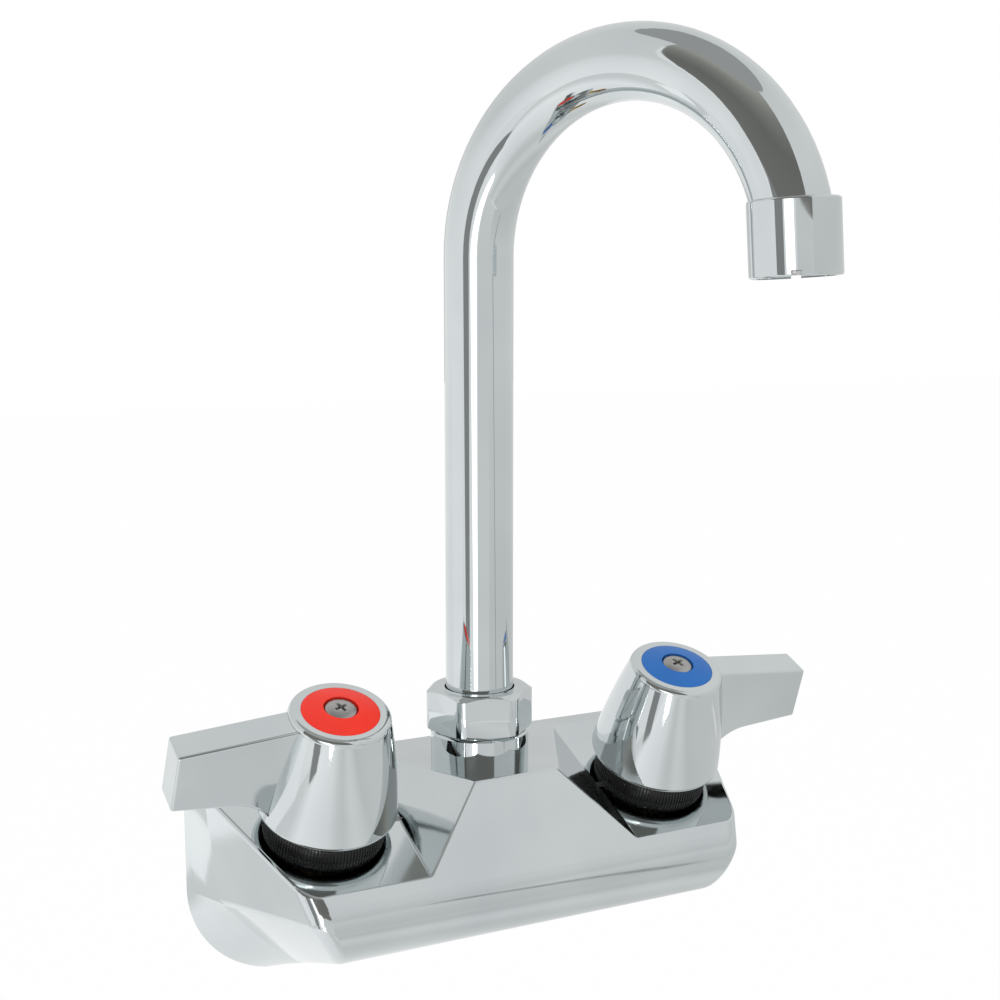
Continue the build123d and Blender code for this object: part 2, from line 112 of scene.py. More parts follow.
def setFloor():
    clearSelection()
    bpy.ops.mesh.primitive_plane_add(size=studio["floorSize"], location=(0, 0, -studio["floorDrop"]))
    floor = bpy.context.object
    floor.name = "floor"
    material = bpy.data.materials.new("floorWhite")
    material.use_nodes = True
    tree = material.node_tree
    tree.nodes.clear()
    matt = tree.nodes.new("ShaderNodeBsdfDiffuse")
    matt.inputs["Color"].default_value = (*[studio["floorGrey"]] * 3, 1)
    glow = tree.nodes.new("ShaderNodeEmission")
    glow.inputs["Strength"].default_value = 1.0
    share = tree.nodes.new("ShaderNodeMath")
    share.operation = "MULTIPLY"
    share.inputs[1].default_value = studio["floorGlow"]
    tree.links.new(showsBackground(tree), share.inputs[0])
    mix = tree.nodes.new("ShaderNodeMixShader")
    tree.links.new(share.outputs[0], mix.inputs[0])
    tree.links.new(matt.outputs[0], mix.inputs[1])
    tree.links.new(glow.outputs[0], mix.inputs[2])
    out = tree.nodes.new("ShaderNodeOutputMaterial")
    tree.links.new(mix.outputs[0], out.inputs["Surface"])
    floor.data.materials.append(material)


# cards stand round the spout's upright, metres and degrees: "left" is the angle left of the camera
# at the foot's start and end and the head's end and start, "levels" are glows by height
cards = {
    "stripLight": {
        "left": (4, 13, 29, 7), "low": -0.42, "high": 0.30, "away": 1.0,
        "levels": [(0.0, 2.2)],
    },
    "stripCore": {  # its edges lie inside the strip, so the mirrored strip keeps soft edges
        "left": (7, 10, 24, 12), "low": -0.42, "high": 0.28, "away": 0.99,
        "levels": [(0.0, 16.0)],
    },
    "darkEdge": {
        "left": (31, 41, 54, 32), "low": -0.42, "high": 0.32, "away": 1.02,
        "levels": [(0.0, 0.30)],
    },
    "darkRoom": {
        "left": (-35, 62, 66, -35), "low": 0.31, "high": 2.7, "away": 1.15,
        "levels": [(0.3, 0.22), (0.9, 0.19), (1.5, 0.28), (2.3, 0.43)], "tint": (1.0, 0.97, 0.90),
    },
    "leftWall": {
        "left": (64, 172, 172, 66), "low": 0.12, "high": 2.7, "away": 1.2,
        "levels": [(0.15, 1.0), (0.35, 0.95), (0.6, 0.82), (2.6, 0.80)],
    },
    "leftLow": {
        "left": (58, 99, 99, 58), "low": -0.419, "high": 0.12, "away": 1.1,
        "levels": [(-0.4, 1.08), (0.1, 1.02)],
    },
    "rightWall": {
        "left": (-172, -35, -35, -172), "low": -0.419, "high": 2.7, "away": 1.2,
        "levels": [
            (-0.4, 0.70), (-0.1, 0.74), (0.12, 0.80), (0.28, 0.73), (0.5, 0.79), (0.9, 0.85), (2.6, 0.80),
        ],
    },
    "frontRight": {
        "left": (-35, 3, 3, -35), "low": -0.419, "high": 0.31, "away": 1.18,
        "levels": [(-0.4, 0.82), (0.3, 0.78)],
    },
    "darkSeam": {
        "left": (-61, -59, -46, -48), "low": -0.31, "high": 0.20, "away": 1.1,
        "levels": [(0.0, 0.38)],
    },
    "backWall": {
        "left": (150, 210, 210, 150), "low": 0.05, "high": 2.7, "away": 1.16,
        "levels": [(0.05, 0.72), (0.6, 0.74), (0.95, 0.83), (2.6, 0.83)],
    },
    "endGlow": {
        "left": (99, 116, 116, 99), "low": -0.419, "high": -0.25, "away": 0.93,
        "levels": [(0.0, 1.16)],
    },
}
canopy = {"height": 2.68, "size": 4.0, "level": 0.42}
floorSheet = {
    "lift": 0.001, "size": 2.3,
    "levels": [  # by the way to the camera's right
        (-1.1, 0.82), (-0.75, 0.86), (-0.5, 1.10), (0.0, 0.95), (0.13, 0.79),
        (0.22, 0.74), (0.345, 0.84), (0.42, 0.81), (0.54, 0.69), (0.7, 0.72),
    ],
}
cardFace = 12  # degrees that one face of a card spans
uprightY = -0.02
cameraAngle = radians(-116.6)  # the camera's direction from the upright
cameraRight = Vector((cos(cameraAngle + pi / 2), sin(cameraAngle + pi / 2), 0.0))
plainTint = (1.0, 1.0, 1.0)


def addGlow(sheet, levels, along, tint=plainTint):
    # emission whose level changes along one direction
    material = bpy.data.materials.new(sheet.name)
    material.use_nodes = True
    tree = material.node_tree
    tree.nodes.clear()
    glow = tree.nodes.new("ShaderNodeEmission")
    if len(levels) == 1:
        glow.inputs["Strength"].default_value = levels[0][1]
    else:
        coords = tree.nodes.new("ShaderNodeTexCoord")
        dot = tree.nodes.new("ShaderNodeVectorMath")
        dot.operation = "DOT_PRODUCT"
        dot.inputs[1].default_value = along
        tree.links.new(coords.outputs["Object"], dot.inputs[0])
        spread = tree.nodes.new("ShaderNodeMapRange")
        spread.inputs["From Min"].default_value = levels[0][0]
        spread.inputs["From Max"].default_value = levels[-1][0]
        tree.links.new(dot.outputs["Value"], spread.inputs["Value"])
        ramp = tree.nodes.new("ShaderNodeValToRGB")
        while len(ramp.color_ramp.elements) < len(levels):
            ramp.color_ramp.elements.new(0.5)
        reach = levels[-1][0] - levels[0][0]
        for element, (spot, level) in zip(ramp.color_ramp.elements, levels):
            element.position = (spot - levels[0][0]) / reach
            element.color = (*(level * share for share in tint), 1)
        tree.links.new(spread.outputs["Result"], ramp.inputs["Fac"])
        tree.links.new(ramp.outputs["Color"], glow.inputs["Color"])
    out = tree.nodes.new("ShaderNodeOutputMaterial")
    tree.links.new(glow.outputs[0], out.inputs["Surface"])
    sheet.data.materials.append(material)
    sheet.visible_camera = False
    sheet.visible_diffuse = False
    sheet.visible_shadow = False


def setCards():
    for name, card in cards.items():
        clearSelection()
        lowFrom, lowTo, highTo, highFrom = card["left"]
        steps = max(1, round(abs(lowTo - lowFrom) / cardFace))
        bpy.ops.mesh.primitive_grid_add(x_subdivisions=steps, y_subdivisions=1, size=1)
        sheet = bpy.context.object
        sheet.name = name
        for vertex in sheet.data.vertices:
            across = vertex.co.x + 0.5
            up = vertex.co.y + 0.5
            low = lowFrom + (lowTo - lowFrom) * across
            high = highFrom + (highTo - highFrom) * across
            angle = cameraAngle - radians(low + (high - low) * up)
            height = card["low"] + (card["high"] - card["low"]) * up
            vertex.co = (card["away"] * cos(angle), uprightY + card["away"] * sin(angle), height)
        addGlow(sheet, card["levels"], (0, 0, 1), card.get("tint", plainTint))
    clearSelection()
    bpy.ops.mesh.primitive_plane_add(size=canopy["size"], location=(0, 0, canopy["height"]))
    bpy.context.object.name = "canopy"
    addGlow(bpy.context.object, [(0.0, canopy["level"])], (0, 0, 1))
    clearSelection()
    lift = -studio["floorDrop"] + floorSheet["lift"]
    bpy.ops.mesh.primitive_plane_add(size=floorSheet["size"], location=(0, 0, lift))
    bpy.context.object.name = "floorSheet"
    addGlow(bpy.context.object, floorSheet["levels"], cameraRight)


lamps = {
    "keySoftbox": {"place": (-0.75, -0.9, 1.0), "size": 0.7, "power": 5.0},
    "fillSoftbox": {"place": (0.9, -0.8, 0.7), "size": 0.8, "power": 2.6},
    "topSoftbox": {"place": (0.0, -0.1, 1.3), "size": 0.9, "power": 4.2},
}
lampAim = Vector((0.0, -0.04, 0.08))


def setLamps():
    for name, lamp in lamps.items():
        clearSelection()
        turn = (lampAim - Vector(lamp["place"])).to_track_quat("-Z", "Y").to_euler()
        bpy.ops.object.light_add(type="AREA", location=lamp["place"], rotation=turn)
        light = bpy.context.object
        light.name = name
        light.data.size = lamp["size"]
        light.data.energy = lamp["power"]
        light.visible_camera = False
        light.visible_glossy = False  # the chrome mirrors the tent and the cards


setCamera()
setWorld()
setFloor()
setCards()
setLamps()
scene.view_settings.view_transform = "Standard"
print("studio set")


# finishes
noiseSpread = (0.3, 0.7)  # where most of a noise's values lie


def startFinish(name):
    material = bpy.data.materials.new(name)
    material.use_nodes = True
    tree = material.node_tree
    shader = tree.nodes["Principled BSDF"]
    coords = tree.nodes.new("ShaderNodeTexCoord")
    return material, tree, shader, coords.outputs["Object"]


def addNoise(tree, coords, scale, detail=3.0, rough=0.5):
    noise = tree.nodes.new("ShaderNodeTexNoise")
    noise.inputs["Scale"].default_value = scale
    noise.inputs["Detail"].default_value = detail
    noise.inputs["Roughness"].default_value = rough
    tree.links.new(coords, noise.inputs["Vector"])
    return noise.outputs["Fac"]


def addTones(tree, value, dark, light):
    ramp = tree.nodes.new("ShaderNodeValToRGB")
    for element, spot, colour in zip(ramp.color_ramp.elements, noiseSpread, (dark, light)):
        element.position = spot
        element.color = (*colour, 1)
    tree.links.new(value, ramp.inputs["Fac"])
    return ramp.outputs["Color"]


def addScale(tree, value, fromLow, fromHigh, low, high):
    spread = tree.nodes.new("ShaderNodeMapRange")
    for socket, number in zip(spread.inputs[1:5], (fromLow, fromHigh, low, high)):
        socket.default_value = number
    tree.links.new(value, spread.inputs["Value"])
    return spread.outputs["Result"]


def addBump(tree, shader, height, depth):
    bump = tree.nodes.new("ShaderNodeBump")
    bump.inputs["Strength"].default_value = 1.0
    bump.inputs["Distance"].default_value = depth
    tree.links.new(height, bump.inputs["Height"])
    tree.links.new(bump.outputs["Normal"], shader.inputs["Normal"])


def addMath(tree, operation, first, second=None):
    step = tree.nodes.new("ShaderNodeMath")
    step.operation = operation
    for socket, value in zip(step.inputs, (first, second)):
        if isinstance(value, (int, float)):
            socket.default_value = value
        elif value is not None:
            tree.links.new(value, socket)
    return step.outputs[0]


def isBelow(tree, value, limit):
    return addMath(tree, "LESS_THAN", value, limit)


def isAbove(tree, value, limit):
    return addMath(tree, "GREATER_THAN", value, limit)


def addAllOf(tree, tests):
    # 1 where every test holds
    whole = tests[0]
    for test in tests[1:]:
        whole = addMath(tree, "MULTIPLY", whole, test)
    return whole


def addMix(tree, share, first, second, kind):
    mix = tree.nodes.new("ShaderNodeMix")
    mix.data_type = kind
    spots = {"FLOAT": (2, 3), "RGBA": (6, 7)}[kind]
    tree.links.new(share, mix.inputs[0])
    tree.links.new(first, mix.inputs[spots[0]])
    tree.links.new(second, mix.inputs[spots[1]])
    return mix.outputs[{"FLOAT": 0, "RGBA": 2}[kind]]


# inside faces that polishing never reaches, dull unplated metal; on the handle they are also painted near
# black as painted shade in its hollows; metres; the handle's heights are along the valve axis
handleInside = {
    "axisFoot": (0.0508, -0.03035, 0.0213), "tilt": 21.5,
    "hubHeights": (0.008, 0.026), "hubRadii": (0.01715, 0.0114), "hubTop": 0.0264,
    "leverReach": (0.02135, 0.0423), "leverHalf": 0.0034, "leverFall": 0.096, "leverTop": 0.0345,
}
castingInside = {
    "pocketSides": (0.0166, 0.0354), "pocketBack": -0.0345, "pocketLow": -0.0256, "lowRise": 0.441,
    "pocketHigh": 0.0204, "wallFace": -0.00005,
}


def maskHandle(tree, coords):
    world = tree.nodes.new("ShaderNodeSeparateXYZ")
    tree.links.new(coords, world.inputs[0])
    oneSide = tree.nodes.new("ShaderNodeCombineXYZ")  # both handles measured as the right one
    tree.links.new(addMath(tree, "ABSOLUTE", world.outputs["X"]), oneSide.inputs["X"])
    tree.links.new(world.outputs["Y"], oneSide.inputs["Y"])
    tree.links.new(world.outputs["Z"], oneSide.inputs["Z"])
    place = tree.nodes.new("ShaderNodeMapping")
    place.vector_type = "TEXTURE"
    place.inputs["Location"].default_value = handleInside["axisFoot"]
    place.inputs["Rotation"].default_value = (radians(handleInside["tilt"]), 0.0, 0.0)
    tree.links.new(oneSide.outputs[0], place.inputs["Vector"])
    own = tree.nodes.new("ShaderNodeSeparateXYZ")
    tree.links.new(place.outputs[0], own.inputs[0])
    reach, across, height = own.outputs
    squares = [addMath(tree, "MULTIPLY", way, way) for way in (reach, across)]
    radius = addMath(tree, "SQRT", addMath(tree, "ADD", *squares))
    limit = addScale(tree, height, *handleInside["hubHeights"], *handleInside["hubRadii"])
    inHub = addAllOf(tree, [isBelow(tree, radius, limit), isBelow(tree, height, handleInside["hubTop"])])
    lift = addMath(tree, "ADD", height, addMath(tree, "MULTIPLY", reach, handleInside["leverFall"]))
    inLever = addAllOf(tree, [
        isAbove(tree, reach, handleInside["leverReach"][0]),
        isBelow(tree, reach, handleInside["leverReach"][1]),
        isBelow(tree, addMath(tree, "ABSOLUTE", across), handleInside["leverHalf"]),
        isBelow(tree, lift, handleInside["leverTop"]),
    ])
    return addMath(tree, "MAXIMUM", inHub, inLever)


def maskCasting(tree, coords):
    world = tree.nodes.new("ShaderNodeSeparateXYZ")
    tree.links.new(coords, world.inputs[0])
    x, y, z = world.outputs
    side = addMath(tree, "ABSOLUTE", x)
    rise = addMath(tree, "MULTIPLY", y, castingInside["lowRise"])
    inPocket = addAllOf(tree, [
        isAbove(tree, side, castingInside["pocketSides"][0]),
        isBelow(tree, side, castingInside["pocketSides"][1]),
        isAbove(tree, y, castingInside["pocketBack"]),
        isBelow(tree, z, castingInside["pocketHigh"]),
        isAbove(tree, z, addMath(tree, "SUBTRACT", castingInside["pocketLow"], rise)),
    ])
    return addMath(tree, "MAXIMUM", inPocket, isAbove(tree, y, castingInside["wallFace"]))


# noises are scale, detail and roughness
chromeLook = {
    "cloud": (34.0, 2.0), "dark": (0.600, 0.640, 0.650), "light": (0.655, 0.695, 0.700),
    "film": (260.0, 5.0, 0.6), "skin": (900.0, 5.0, 0.65), "waveDetail": 1.0,
}
# the handle's inside skin is dull unplated metal given a near-black tone: painted shade for the dark inside
# the hub and lever hollows
shadedCastSkin = {"dark": (0.040, 0.041, 0.042), "light": (0.075, 0.076, 0.077), "rough": (0.45, 0.65)}
backSkin = {"dark": (0.30, 0.31, 0.31), "light": (0.42, 0.43, 0.43), "rough": (0.32, 0.48)}
chromes = {
    "chrome_casting": {
        "name": "polishedCasting", "wave": 46.0, "waveDepth": 0.00003, "smudge": (0.06, 0.10),
        "mask": maskCasting, "dull": backSkin,
    },
    "chrome_turned": {"name": "turnedChrome", "wave": 120.0, "waveDepth": 0.000003, "smudge": (0.03, 0.06)},
    "chrome_tube": {"name": "tubeChrome", "wave": 60.0, "waveDepth": 0.000006, "smudge": (0.025, 0.05)},
    "chrome_handle": {
        "name": "handleChrome", "wave": 70.0, "waveDepth": 0.00003, "smudge": (0.04, 0.08),
        "mask": maskHandle, "dull": shadedCastSkin,
    },
}


def makeChrome(name, wave, waveDepth, smudge, mask=None, dull=None):
    material, tree, shader, coords = startFinish(name)
    shader.inputs["Metallic"].default_value = 1.0
    cloud = addNoise(tree, coords, *chromeLook["cloud"])
    tint = addTones(tree, cloud, chromeLook["dark"], chromeLook["light"])
    film = addNoise(tree, coords, *chromeLook["film"])
    rough = addScale(tree, film, *noiseSpread, *smudge)
    if mask:
        inside = mask(tree, coords)
        skin = addNoise(tree, coords, *chromeLook["skin"])
        # inside faces take the dull skin; on the handle its near-black tones are painted shade
        tint = addMix(tree, inside, tint, addTones(tree, skin, dull["dark"], dull["light"]), "RGBA")
        rough = addMix(tree, inside, rough, addScale(tree, skin, *noiseSpread, *dull["rough"]), "FLOAT")
    tree.links.new(tint, shader.inputs["Base Color"])
    tree.links.new(rough, shader.inputs["Roughness"])
    addBump(tree, shader, addNoise(tree, coords, wave, chromeLook["waveDetail"]), waveDepth)
    return material


metalLook = {"cloud": (120.0, 4.0), "film": (500.0, 4.0), "grainDetail": 2.0}
metals = {
    "screw_steel": {
        "name": "screwSteel", "dark": (0.38, 0.375, 0.36), "light": (0.47, 0.465, 0.455),
        "rough": (0.28, 0.42), "grain": 1400.0, "grainDepth": 0.000006,
    },
    "brass": {
        "name": "bareBrass", "dark": (0.56, 0.40, 0.16), "light": (0.72, 0.54, 0.25),
        "rough": (0.24, 0.4), "grain": 700.0, "grainDepth": 0.00001,
    },
    "plated_steel": {
        "name": "zincPlate", "dark": (0.48, 0.48, 0.47), "light": (0.60, 0.60, 0.585),
        "rough": (0.28, 0.42), "grain": 1100.0, "grainDepth": 0.000008,
    },
}


def makeMetal(name, dark, light, rough, grain, grainDepth):
    material, tree, shader, coords = startFinish(name)
    shader.inputs["Metallic"].default_value = 1.0
    cloud = addNoise(tree, coords, *metalLook["cloud"])
    tree.links.new(addTones(tree, cloud, dark, light), shader.inputs["Base Color"])
    film = addNoise(tree, coords, *metalLook["film"])
    tree.links.new(addScale(tree, film, *noiseSpread, *rough), shader.inputs["Roughness"])
    addBump(tree, shader, addNoise(tree, coords, grain, metalLook["grainDetail"]), grainDepth)
    return material


plasticLook = {"cloud": (90.0, 3.0), "film": (400.0, 4.0), "grainDetail": 2.0, "coatRough": 0.08}
plastics = {
    "red_plastic": {
        "name": "redIndex", "dark": (0.78, 0.026, 0.012), "light": (0.84, 0.031, 0.015),
        "rough": (0.30, 0.40), "grain": 900.0, "grainDepth": 0.000006, "shine": 0.2,
    },
    "blue_plastic": {
        "name": "blueIndex", "dark": (0.020, 0.132, 0.43), "light": (0.025, 0.150, 0.47),
        "rough": (0.30, 0.40), "grain": 900.0, "grainDepth": 0.000006, "shine": 0.15,
    },
    "black_plastic": {
        "name": "blackRing", "dark": (0.004, 0.004, 0.004), "light": (0.008, 0.008, 0.007),
        "rough": (0.25, 0.32), "grain": 1200.0, "grainDepth": 0.000004, "shine": 0.45,
    },
    "white_plastic": {
        "name": "whiteAcetal", "dark": (0.72, 0.72, 0.69), "light": (0.80, 0.80, 0.78),
        "rough": (0.38, 0.5), "grain": 800.0, "grainDepth": 0.000006,
    },
    "black_rubber": {
        "name": "blackRubber", "dark": (0.010, 0.010, 0.010), "light": (0.020, 0.020, 0.019),
        "rough": (0.6, 0.75), "grain": 1500.0, "grainDepth": 0.00001,
    },
    "ceramic": {
        "name": "whiteCeramic", "dark": (0.80, 0.78, 0.73), "light": (0.86, 0.845, 0.80),
        "rough": (0.12, 0.2), "grain": 500.0, "grainDepth": 0.000002, "coat": 0.4,
    },
}


def makePlastic(name, dark, light, rough, grain, grainDepth, coat=0.0, shine=0.5):
    material, tree, shader, coords = startFinish(name)
    cloud = addNoise(tree, coords, *plasticLook["cloud"])
    tree.links.new(addTones(tree, cloud, dark, light), shader.inputs["Base Color"])
    film = addNoise(tree, coords, *plasticLook["film"])
    tree.links.new(addScale(tree, film, *noiseSpread, *rough), shader.inputs["Roughness"])
    shader.inputs["Specular IOR Level"].default_value = shine
    shader.inputs["Coat Weight"].default_value = coat
    shader.inputs["Coat Roughness"].default_value = plasticLook["coatRough"]
    addBump(tree, shader, addNoise(tree, coords, grain, plasticLook["grainDetail"]), grainDepth)
    return material


finishes = {}
for maker, looks in ((makeChrome, chromes), (makeMetal, metals), (makePlastic, plastics)):
    for slotName, look in looks.items():
        finishes[slotName] = maker(**look)
print("finishes made", len(finishes))


# modelling helpers
def openPiece(piece, mode="EDGE"):
    bpy.context.view_layer.objects.active = piece
    bpy.ops.object.mode_set(mode="EDIT")
    bpy.ops.mesh.select_mode(type=mode)


def pickParts(piece, parts, test, mode="EDGE"):
    openPiece(piece, mode)
    bpy.ops.mesh.select_all(action="DESELECT")
    bpy.ops.object.mode_set(mode="OBJECT")
    for part in getattr(piece.data, parts):
        part.select = test(part)
    bpy.ops.object.mode_set(mode="EDIT")


def growProfile(first, steps):
    # pulls the selected loop through (radius, height) steps about the upright axis
    radius, height = first
    for nextRadius, nextHeight in steps:
        bpy.ops.mesh.extrude_region_move(TRANSFORM_OT_translate={"value": (0, 0, nextHeight - height)})
        share = nextRadius / radius
        bpy.ops.transform.resize(value=(share, share, 1), center_override=(0, 0, nextHeight))
        radius, height = nextRadius, nextHeight


def turnAngle(flat):
    return Vector((1, 0)).angle_signed(flat)  # clockwise is positive


def edgeRise(piece, edge):
    first, second = [piece.data.vertices[end].co.z for end in edge.vertices]
    return abs(second - first)


def applyModifier(piece, kind, **settings):
    clearSelection()
    bpy.context.view_layer.objects.active = piece
    piece.select_set(True)
    modifier = piece.modifiers.new(kind.lower(), kind)
    for key, value in settings.items():
        setattr(modifier, key, value)
    bpy.ops.object.modifier_apply(modifier=modifier.name)


def softenEdges(piece, width, angle):
    applyModifier(piece, "BEVEL", width=width, segments=2, limit_method="ANGLE", angle_limit=radians(angle))


def cutWith(piece, tool):
    applyModifier(piece, "BOOLEAN", object=tool, operation="DIFFERENCE", solver="EXACT")
    bpy.data.objects.remove(tool, do_unlink=True)


def settlePiece(piece, smoothAngle):
    clearSelection()
    bpy.context.view_layer.objects.active = piece
    piece.select_set(True)
    bpy.ops.object.transform_apply(location=True, rotation=True, scale=True)
    bpy.ops.object.mode_set(mode="EDIT")
    bpy.ops.mesh.select_all(action="SELECT")
    bpy.ops.mesh.normals_make_consistent(inside=False)
    bpy.ops.object.mode_set(mode="OBJECT")
    bpy.ops.object.shade_smooth_by_angle(angle=radians(smoothAngle))


def dressPiece(piece, node, body, slotName):
    piece.data.materials.clear()
    piece.data.materials.append(finishes[slotName])
    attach(piece, body)
    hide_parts(node)


def copyPiece(piece, name):
    twin = piece.copy()
    twin.data = piece.data.copy()
    twin.name = name
    scene.collection.objects.link(twin)
    return twin


# hexagon nut under the spout, its upright corners polished round
spoutNut = {
    "corners": 240, "flats": 0.0272, "low": 0.0381, "high": 0.0499, "turn": -15.6,
    "cornerRound": 0.0038, "shoulder": 0.001, "topRadius": 0.0133, "topSlope": 0.655, "footSlope": 0.22,
    "hole": 0.00988, "bore": 0.01192, "lid": 0.0472,
    "soften": 0.0001, "softenAngle": 25, "smoothAngle": 30,
}


def nutRadius(angle):
    # a hexagon's outline whose corners are arcs
    flat, arc = spoutNut["flats"] / 2, spoutNut["cornerRound"]
    fromCorner = (angle + pi / 6) % (pi / 3) - pi / 6
    centre = (flat - arc) / cos(pi / 6)
    arcEnd = atan2(arc / 2, centre + arc * cos(pi / 6))
    if abs(fromCorner) > arcEnd:
        return flat / cos(pi / 6 - abs(fromCorner))
    return centre * cos(fromCorner) + sqrt(arc ** 2 - (centre * sin(fromCorner)) ** 2)


def makeNut():
    clearSelection()
    low, high, lid = spoutNut["low"], spoutNut["high"], spoutNut["lid"]
    hole, bore, top = spoutNut["hole"], spoutNut["bore"], spoutNut["topRadius"]
    wall = spoutNut["flats"] / 2
    bpy.ops.mesh.primitive_circle_add(vertices=spoutNut["corners"], radius=wall, location=(0, 0, low))
    nut = bpy.context.object
    nut.name = "polishedNut"
    bpy.ops.object.transform_apply(location=True, rotation=True, scale=True)
    openPiece(nut)
    bpy.ops.mesh.select_all(action="SELECT")
    growProfile((wall, low), [
        (wall, high - spoutNut["shoulder"]), (top, high),
        (hole, high), (hole, lid), (bore, lid), (bore, low),
    ])
    pickParts(nut, "vertices", lambda vertex: vertex.co.z < low + hair, "VERT")
    bpy.ops.mesh.bridge_edge_loops()
    bpy.ops.object.mode_set(mode="OBJECT")
    for vertex in nut.data.vertices:
        if vertex.co.xy.length > (wall + top) / 2:
            radius = nutRadius(turnAngle(vertex.co.xy))
            rise = radius - top
            vertex.co.xy = vertex.co.xy * (radius / vertex.co.xy.length)
            if vertex.co.z > (low + high) / 2:
                vertex.co.z = high - rise * spoutNut["topSlope"]  # the cone that turns off the top corners
            else:
                vertex.co.z = low + rise * spoutNut["footSlope"]
    softenEdges(nut, spoutNut["soften"], spoutNut["softenAngle"])
    nut.location.y = uprightY
    nut.rotation_euler.z = radians(spoutNut["turn"])
    settlePiece(nut, spoutNut["smoothAngle"])
    dressPiece(nut, "spout_nut", "body", "chrome_turned")


sides = {"hot": -1, "cold": 1}
valveSeat = {"reach": 0.0508, "y": -0.03035, "z": 0.0212966, "tilt": 21.5}


def standOnValve(piece, side, turn=0.0):
    lean = Matrix.Rotation(radians(valveSeat["tilt"]), 4, "X") @ Matrix.Rotation(radians(turn), 4, "Z")
    place = Matrix.Translation((side * valveSeat["reach"], valveSeat["y"], valveSeat["z"]))
    piece.matrix_world = place @ lean


# black ring under each handle, with fine grip ribs
baseRing = {
    "ribs": 112, "ribSteps": [(0.00007, 0.00020), (0.00008, 0.00010)],  # inset and rise of each rib
    "radius": 0.0164, "lean": (0.0002, 0.0009), "shoulders": (0.0016, 0.0030),
    "height": 0.0043, "bore": 0.0148, "web": 0.0014, "hole": 0.0091,
    "wallTilt": 0.6,  # faces whose normals rise less than this are the wall
    "smoothAngle": 60,
}


def makeRings():
    clearSelection()
    hole, height, web = baseRing["hole"], baseRing["height"], baseRing["web"]
    wall = baseRing["radius"] - sum(rise for _, rise in baseRing["ribSteps"])
    low, high = baseRing["shoulders"]
    waist, edge = [wall - lean for lean in baseRing["lean"]]
    bpy.ops.mesh.primitive_circle_add(vertices=baseRing["ribs"] * 2, radius=hole)
    first = bpy.context.object
    first.name = "ribbedRing.hot"
    openPiece(first)
    bpy.ops.mesh.select_all(action="SELECT")
    growProfile((hole, 0.0), [
        (wall, 0.0), (wall, low), (waist, high), (edge, height),
        (baseRing["bore"], height), (baseRing["bore"], web), (hole, web),
    ])
    pickParts(first, "vertices", lambda vertex: vertex.co.xy.length < hole + hair, "VERT")
    bpy.ops.mesh.bridge_edge_loops()
    bpy.ops.mesh.select_all(action="SELECT")
    bpy.ops.mesh.normals_make_consistent(inside=False)
    bpy.ops.object.mode_set(mode="OBJECT")
    ribTurn = pi / baseRing["ribs"]

    def isRib(face):
        onWall = face.center.xy.length > edge and abs(face.normal.z) < baseRing["wallTilt"]
        return onWall and int((turnAngle(face.center.xy) + 2 * pi) / ribTurn) % 2 == 0

    pickParts(first, "polygons", isRib, "FACE")
    for inset, rise in baseRing["ribSteps"]:
        bpy.ops.mesh.inset(thickness=inset, depth=rise)
    bpy.ops.object.mode_set(mode="OBJECT")
    rings = {"hot": first, "cold": copyPiece(first, "ribbedRing.cold")}
    for word, ring in rings.items():
        standOnValve(ring, sides[word])
        settlePiece(ring, baseRing["smoothAngle"])
        dressPiece(ring, "base_ring_" + word, "body", "black_plastic")


# screw with a domed head and a tapering cross recess, heights along the valve axis
handleScrew = {
    "corners": 64, "start": (0.0016, 0.0207), "top": 0.0377,
    "profile": [
        (0.0024, 0.0214), (0.0024, 0.0347), (0.0044, 0.0347), (0.0044, 0.03655), (0.00430, 0.03690),
        (0.00402, 0.03718), (0.0034, 0.03742), (0.0024, 0.03762), (0.0012, 0.0377),
    ],
    "crossLength": 0.0050, "crossWidth": 0.0012, "crossDepth": 0.0017, "crossTaper": 0.55,
    "crossTurn": 20.0, "soften": 0.00012, "softenAngle": 40, "smoothAngle": 32,
}


def addCross(turn):
    clearSelection()
    top, taper = (0, 0, handleScrew["top"]), handleScrew["crossTaper"]
    bpy.ops.mesh.primitive_cube_add(size=1, location=top, rotation=(0, 0, radians(turn)))
    arm = bpy.context.object
    arm.scale = (handleScrew["crossLength"], handleScrew["crossWidth"], 2 * handleScrew["crossDepth"])
    bpy.ops.object.transform_apply(location=True, rotation=True, scale=True)
    pickParts(arm, "polygons", lambda face: face.normal.z < -0.9, "FACE")
    bpy.ops.transform.resize(value=(taper, taper, 1), center_override=top)
    bpy.ops.object.mode_set(mode="OBJECT")
    return arm


def makeScrews():
    clearSelection()
    radius, height = handleScrew["start"]
    bpy.ops.mesh.primitive_circle_add(
        vertices=handleScrew["corners"], radius=radius, fill_type="NGON", location=(0, 0, height)
    )
    first = bpy.context.object
    first.name = "crossScrew.hot"
    bpy.ops.object.transform_apply(location=True, rotation=True, scale=True)
    openPiece(first, "FACE")
    bpy.ops.mesh.select_all(action="SELECT")
    growProfile(handleScrew["start"], handleScrew["profile"])
    bpy.ops.mesh.select_all(action="SELECT")
    bpy.ops.mesh.normals_make_consistent(inside=False)
    bpy.ops.object.mode_set(mode="OBJECT")
    for quarter in (0.0, 90.0):
        cutWith(first, addCross(handleScrew["crossTurn"] + quarter))
    softenEdges(first, handleScrew["soften"], handleScrew["softenAngle"])
    screws = {"hot": first, "cold": copyPiece(first, "crossScrew.cold")}
    for word, screw in screws.items():
        standOnValve(screw, sides[word], 180.0 if word == "hot" else 0.0)
        settlePiece(screw, handleScrew["smoothAngle"])
        dressPiece(screw, "handle_screw_" + word, word + "_handle", "screw_steel")


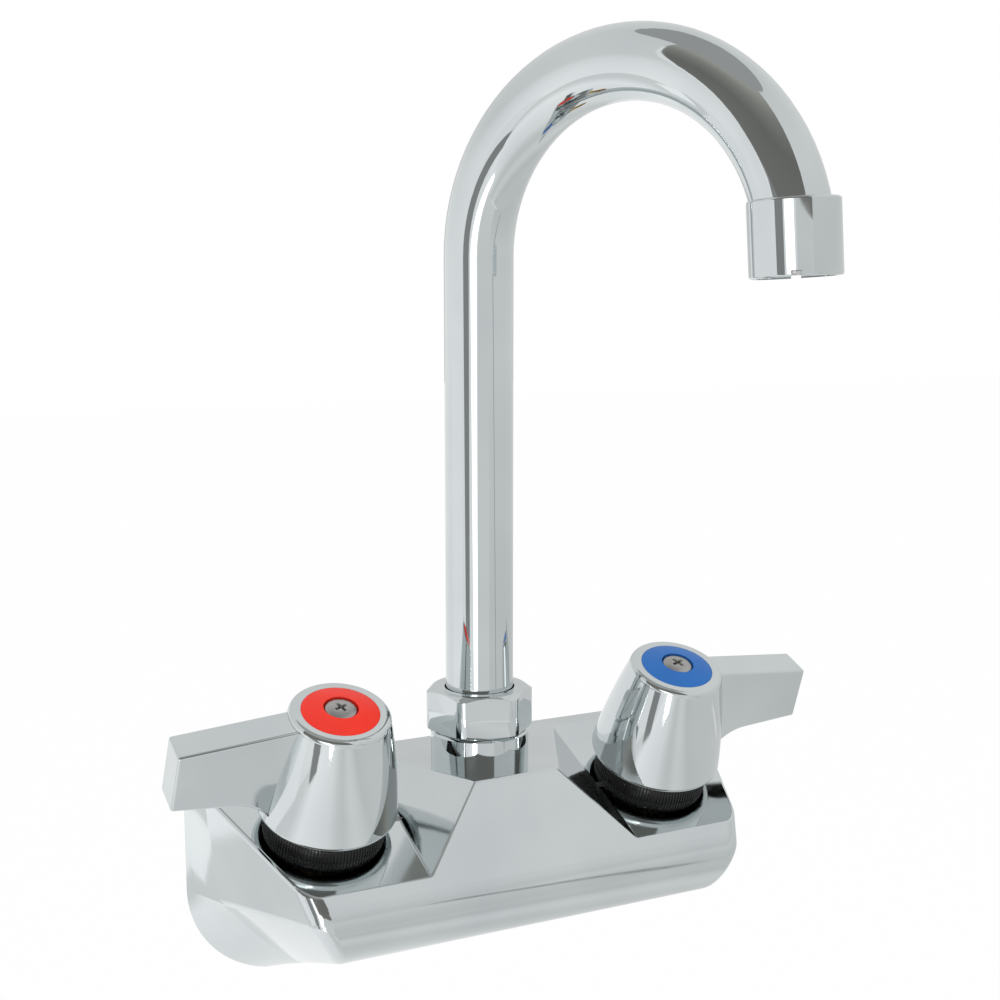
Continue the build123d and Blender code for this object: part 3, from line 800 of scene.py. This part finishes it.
# threaded inlets behind the wall face, lengths along +Y
inletShank = {
    "corners": 72, "cuts": (99, 1), "crest": 0.0104, "bore": 0.0065, "back": -0.014, "end": 0.040,
    "threadDepth": 0.00105, "pitch": 0.001814, "toothSlope": 2.5, "toothFlat": 0.12, "fade": 0.0006,
    "runs": ((0.0003, 0.0143), (0.0162, 0.0400)), "relief": (0.0145, 0.016, 0.0095), "chamfer": 0.0009,
    "smoothAngle": 40,
}


def threadRadius(along, turn):
    reliefFrom, reliefTo, reliefRadius = inletShank["relief"]
    if reliefFrom <= along <= reliefTo:
        return reliefRadius
    radius = inletShank["crest"]
    for low, high in inletShank["runs"]:
        if low < along < high:
            phase = (along / inletShank["pitch"] + turn / (2 * pi)) % 1.0  # a right-hand thread
            tooth = abs(phase - 0.5) * inletShank["toothSlope"] - inletShank["toothFlat"]
            depth = inletShank["threadDepth"] * min(1.0, (along - low) / inletShank["fade"])
            radius -= depth * min(1.0, max(0.0, tooth))  # flat crest and root
    return min(radius, inletShank["crest"] - max(0.0, along - inletShank["end"] + inletShank["chamfer"]))


def makeShanks():
    clearSelection()
    back, end, bore, crest = [inletShank[key] for key in ("back", "end", "bore", "crest")]
    bpy.ops.mesh.primitive_cylinder_add(
        vertices=inletShank["corners"], radius=crest, depth=end,
        end_fill_type="NOTHING", location=(0, 0, end / 2)
    )
    first = bpy.context.object
    first.name = "threadedShank.hot"
    bpy.ops.object.transform_apply(location=True, rotation=True, scale=True)
    for cuts in inletShank["cuts"]:
        pickParts(first, "edges", lambda edge: edgeRise(first, edge) > hair)
        bpy.ops.mesh.subdivide(number_cuts=cuts)
    bpy.ops.object.mode_set(mode="OBJECT")
    for vertex in first.data.vertices:
        flat = vertex.co.xy
        vertex.co.xy = flat * (threadRadius(vertex.co.z, turnAngle(flat)) / flat.length)
    pickParts(first, "vertices", lambda vertex: vertex.co.z > end - hair, "VERT")
    growProfile((crest - inletShank["chamfer"], end), [(bore, end), (bore, back)])

    def isFoot(vertex):
        return vertex.co.z < hair and vertex.co.xy.length > bore + hair

    pickParts(first, "vertices", isFoot, "VERT")
    growProfile((crest, 0.0), [(crest, back)])
    pickParts(first, "vertices", lambda vertex: vertex.co.z < back + hair, "VERT")
    bpy.ops.mesh.bridge_edge_loops()
    bpy.ops.object.mode_set(mode="OBJECT")
    shanks = {"hot": first, "cold": copyPiece(first, "threadedShank.cold")}
    for word, shank in shanks.items():
        place = Matrix.Translation((sides[word] * valveSeat["reach"], 0, 0))
        shank.matrix_world = place @ Matrix.Rotation(-pi / 2, 4, "X")
        settlePiece(shank, inletShank["smoothAngle"])
        dressPiece(shank, "inlet_shank_" + word, "body", "brass")


makeNut()
makeRings()
makeScrews()
makeShanks()
print("pieces modelled")

for part in nodes.values():
    slotName = part.data.materials[0].name.split(".")[0]
    part.data.materials[0] = finishes[slotName]
print("nodes dressed")
